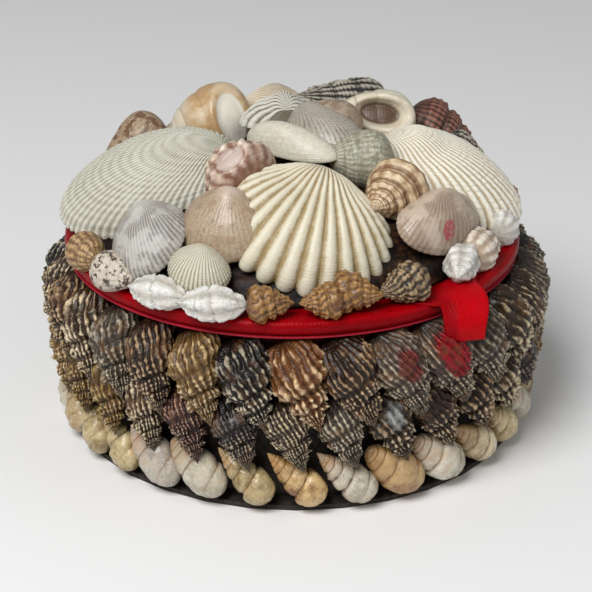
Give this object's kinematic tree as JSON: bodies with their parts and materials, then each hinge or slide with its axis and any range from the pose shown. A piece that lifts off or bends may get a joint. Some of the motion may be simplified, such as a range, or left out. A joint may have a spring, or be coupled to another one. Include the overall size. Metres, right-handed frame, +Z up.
{
  "type": "trinket box",
  "caption": "Round lidded trinket box with a red cloth lining, rows of small ribbed shells round its wall and larger shells heaped on its hinged lid.",
  "frame": {"origin": "centre of the underside of the base board", "axes": "+Z up, +Y towards the lid's hinge, -Y towards the pull tab, +X to the right of someone who faces the tab"},
  "size_m": [0.13, 0.1337, 0.0829],
  "materials": {
    "card": "dark cardboard, matt",
    "red_cloth": "deep red velvet-like cloth",
    "red_ribbon": "bright red satin ribbon",
    "glue": "brown putty",
    "dark_shell": "dark ribbed shell, glossy",
    "pale_shell": "cream shell, glossy",
    "white_shell": "white ribbed shell, satin",
    "lilac_shell": "lilac-grey shell, satin",
    "tan_shell": "tan mottled shell, glossy",
    "gold_shell": "golden-brown shell, glossy"
  },
  "bodies": {
    "box": {"base_board": "card", "drum_wall": "card", "rim_cloth": "red_cloth", "floor_cloth": "red_cloth", "hinge_cloth": "red_cloth", "upper_shell_row": "dark_shell", "middle_shell_row": "dark_shell", "bottom_shell_row": "pale_shell"},
    "lid": {"amber_whelk": "gold_shell", "back_bead": "pale_shell", "back_clam": "lilac_shell", "back_cockle": "white_shell", "back_spindle": "white_shell", "beaded_top": "gold_shell", "beige_snail": "tan_shell", "brown_bead": "gold_shell", "dark_whelk": "dark_shell", "drop_spindle": "white_shell", "edge_bead": "pale_shell", "front_cockle": "white_shell", "front_spindle": "white_shell", "glue_bed": "glue", "gold_bead": "gold_shell", "gold_whelk": "gold_shell", "green_clam": "pale_shell", "green_nerite": "lilac_shell", "grey_clam": "lilac_shell", "hinge_bead": "dark_shell", "hinge_clam": "tan_shell", "hinge_snail": "gold_shell", "left_cockle": "white_shell", "left_spindle": "white_shell", "lid_board": "red_cloth", "lid_lining": "red_cloth", "lilac_clam": "lilac_shell", "moon_snail": "tan_shell", "mottled_snail": "tan_shell", "open_snail": "white_shell", "pink_bead": "pale_shell", "pink_snail": "tan_shell", "pull_tab": "red_ribbon", "ribbed_top": "dark_shell", "right_clam": "lilac_shell", "right_cockle": "white_shell", "side_bead": "gold_shell", "side_snail": "dark_shell", "spotted_bead": "white_shell", "tan_clam": "tan_shell", "top_cockle": "white_shell", "turban": "gold_shell", "white_clam": "white_shell"}
  },
  "joints": [
    {"name": "lid_hinge", "type": "hinge", "parent": "box", "child": "lid", "pos_m": [0, 0.05845, 0.0468], "axis": [-1, 0, 0], "range_deg": [0, 147], "deforming": ["hinge_cloth"]}
  ]
}
